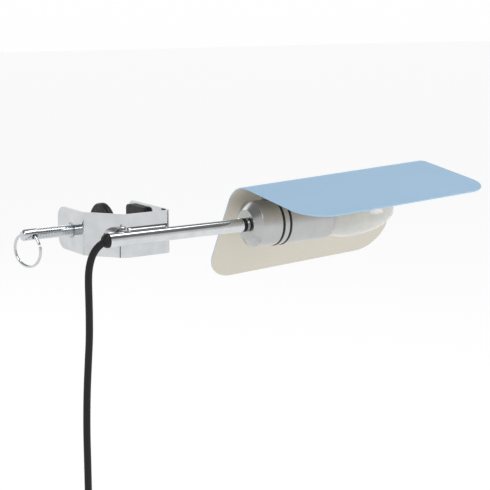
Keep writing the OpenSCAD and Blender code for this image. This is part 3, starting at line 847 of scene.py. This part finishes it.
class PICTURELIGHT_OT_finishes(bpy.types.Operator):
    """Gives every piece and every carried-over node its material"""
    bl_idname = "picture_light.finishes"
    bl_label = "Finishes"

    def execute(self, context):
        # polished plate on the bent strip: a clear mirror with a little haze
        chrome = chrome_plate("bright_chrome", "D6D8DA", 0.035, 0.10)
        # the same on drawn tube: clearer and paler
        tube = chrome_plate("chromed_tube", "DADCDD", 0.03, 0.08)
        # the same on wire: hazier and darker
        wire = chrome_plate("chromed_wire", "D0D2D4", 0.06, 0.14)
        aluminium = turned_aluminium()
        # moulded rubber: dull black
        rubber = moulded_rubber("moulded_rubber", "0C0C0C", 0.5)
        # nitrile seals: black with a slight gloss
        nitrile = moulded_rubber("nitrile_rubber", "0F0F0F", 0.42)
        # zinc plate: a light grey with a soft shine
        steel = plain_metal("zinc_plated_steel", "B9BBBD", "9FA2A5", 0.3)
        # blackened steel: dark grey with a dim shine
        black_steel = plain_metal("blackened_steel", "3A3A3C", "2A2A2B", 0.38)
        # turned brass: yellow and bright, browner where it is tarnished
        brass = plain_metal("turned_brass", "D2A95C", "B58A44", 0.28)
        # nickel plate: a warm grey, with the clearest shine of the fittings
        nickel = plain_metal("nickel_plate", "C9C5BB", "B3AFA6", 0.2)
        # nylon from a spark-eroded mould: black, with a grain that breaks up its shine
        matt = moulded_plastic("spark_textured_nylon", "161617", 0.5, 0.25 * MM, 0.02 * MM)
        # polycarbonate from a polished mould: black and smoother, with a clearer highlight
        gloss = moulded_plastic("satin_polycarbonate", "1B1B1C", 0.3, 0.6 * MM, 0.006 * MM)
        # vulcanised fibre, pressed: brown and dull
        fibre = moulded_plastic("vulcanised_fibre", "4A3324", 0.7, 0.4 * MM, 0.04 * MM)
        # extruded insulation of the leads: brown with a low gloss
        sheath = moulded_plastic("lead_sheath", "6B3F22", 0.35, 0.8 * MM, 0.01 * MM)
        # the paint of the shade's inside, again on its bracket
        cream = powder_paint("cream_bracket_paint", context.scene.light_shade.inside, 0.5)
        ceramic, opal = glazed_ceramic(), opal_glass()
        table = {
            chrome: ("bent_strip", "boss", "arm_saddle", "neck_ring"),
            tube: ("arm_tube",),
            wire: ("pull_ring",),
            aluminium: ("head_front", "head_barrel", "collar"),
            rubber: ("rubber_pad", "rubber_liner", "arm_grommet"),
            nitrile: ("front_o_ring", "rear_o_ring", "neck_bush"),
            steel: ("bush", "cup", "arm_insert", "bracket_screws", "switch_screws", "spring_washer",
                    "bulb_cap"),
            black_steel: ("pivot_screw", "retaining_clip"),
            brass: ("neck_nipple", "nipple_nut", "holder_shell", "centre_contact", "terminal_screws"),
            nickel: ("plug_pins",),
            matt: ("switch_back", "switch_front", "plug_shell", "holder_ring", "pin_sleeves"),
            gloss: ("rocker_key",),
            fibre: ("friction_washer",),
            sheath: ("lamp_leads",),
            cream: ("ridge_saddle",),
            ceramic: ("holder_body",),
            opal: ("bulb_globe",),
        }
        for material, names in table.items():
            for name in names:
                finish_with(bpy.data.objects[name], material)
        return {"FINISHED"}


class PICTURELIGHT_OT_stage(bpy.types.Operator):
    """Adds the pale floor, the soft lights and the sky"""
    bl_idname = "picture_light.stage"
    bl_label = "Stage"

    # name, place, aim, size along and across, power in watts
    LIGHTS = (
        ("key_box", (-0.9, -1.3, 1.3), (0.05, -0.06, 0.0), (1.2, 0.7), 11),
        ("top_box", (0.5, -0.3, 1.6), (0.12, -0.06, 0.0), (1.4, 0.5), 8),
        ("right_box", (1.7, -1.0, 0.35), (0.15, -0.06, 0.0), (0.5, 1.2), 7),
        ("back_box", (-0.2, 1.6, 0.7), (0.05, -0.06, 0.0), (1.4, 0.9), 5),
    )

    def execute(self, context):
        deselect()
        bpy.ops.mesh.primitive_plane_add(size=30, location=(0, 0, CAD_BOX[0].z - 20 * MM))
        floor = name_piece("floor")
        apply_place(floor)
        finish_with(floor, pale_floor())
        for name, place, aim, size, power in self.LIGHTS:
            bpy.ops.object.light_add(type="AREA", location=place)
            lamp = name_piece(name)
            lamp.data.shape = "RECTANGLE"
            lamp.data.size, lamp.data.size_y = size
            lamp.data.energy = power
            lamp.rotation_euler = (Vector(aim) - Vector(place)).to_track_quat("-Z", "Y").to_euler()
        self.sky(context.scene)
        context.scene.view_settings.view_transform = "Standard"
        return {"FINISHED"}

    def sky(self, scene):
        """A studio's even white round the horizon, darker overhead, which gives chrome its dark lines."""
        world = bpy.data.worlds.new("studio")
        world.use_nodes = True
        tree = world.node_tree
        tree.nodes.clear()
        place = add_node(tree, "ShaderNodeTexCoord")
        split = add_node(tree, "ShaderNodeSeparateXYZ", {0: place.outputs["Generated"]})
        height = add_node(tree, "ShaderNodeMapRange", {"Value": split.outputs["Z"], "From Min": -1.0})
        ramp = add_node(tree, "ShaderNodeValToRGB", {0: height.outputs[0]})
        stops = ramp.color_ramp.elements
        stops[0].position, stops[0].color = 0.0, (0.9, 0.9, 0.9, 1)
        stops[1].position, stops[1].color = 1.0, (0.42, 0.43, 0.44, 1)
        for where, level in ((0.52, 1.0), (0.66, 0.95), (0.74, 0.3), (0.84, 0.24)):
            stop = stops.new(where)
            stop.color = (level, level, level, 1)
        # the side that faces the front is dimmer, so that the metals keep their dark lines
        front = add_node(tree, "ShaderNodeMapRange", {
            "Value": split.outputs["Y"], "From Min": -0.35, "From Max": 0.25, "To Min": 0.75})
        dimmed = add_node(tree, "ShaderNodeMix", {
            0: front.outputs[0], 6: linear("000000"), 7: ramp.outputs[0]}, data_type="RGBA")
        sky = add_node(tree, "ShaderNodeBackground", {"Color": dimmed.outputs[2], "Strength": 1.0})
        add_node(tree, "ShaderNodeOutputWorld", {"Surface": sky.outputs[0]})
        scene.world = world


class PICTURELIGHT_PT_panel(bpy.types.Panel):
    """Lists the pieces in the order that they are made"""
    bl_idname = "PICTURELIGHT_PT_panel"
    bl_label = "Picture light"
    bl_space_type = "VIEW_3D"
    bl_region_type = "UI"
    bl_category = "Picture light"

    def draw(self, context):
        for step in STEPS:
            self.layout.operator(f"picture_light.{step}")
        for group, kind in GROUPS.items():
            box = self.layout.box()
            for key in kind.__annotations__:
                box.prop(getattr(context.scene, group), key)


STEPS = ("camera", "cord", "shade", "screw", "fittings", "finishes", "stage")
GROUPS = {"light_shade": ShadeSizes, "light_screw": ScrewSizes, "light_cord": CordSizes}
CLASSES = (*GROUPS.values(), PICTURELIGHT_OT_camera, PICTURELIGHT_OT_cord, PICTURELIGHT_OT_shade,
           PICTURELIGHT_OT_screw, PICTURELIGHT_OT_fittings, PICTURELIGHT_OT_finishes,
           PICTURELIGHT_OT_stage, PICTURELIGHT_PT_panel)


def register():
    """Registers the classes and puts the size groups on the scene."""
    for c in CLASSES:
        bpy.utils.register_class(c)
    for key, group in GROUPS.items():
        setattr(bpy.types.Scene, key, bpy.props.PointerProperty(type=group))


def unregister():
    """Takes the size groups and the classes away again."""
    for key in GROUPS:
        delattr(bpy.types.Scene, key)
    for c in reversed(CLASSES):
        bpy.utils.unregister_class(c)


def main():
    """Makes the pieces in order."""
    register()
    for step in STEPS:
        getattr(bpy.ops.picture_light, step)()


if __name__ == "__main__":
    main()
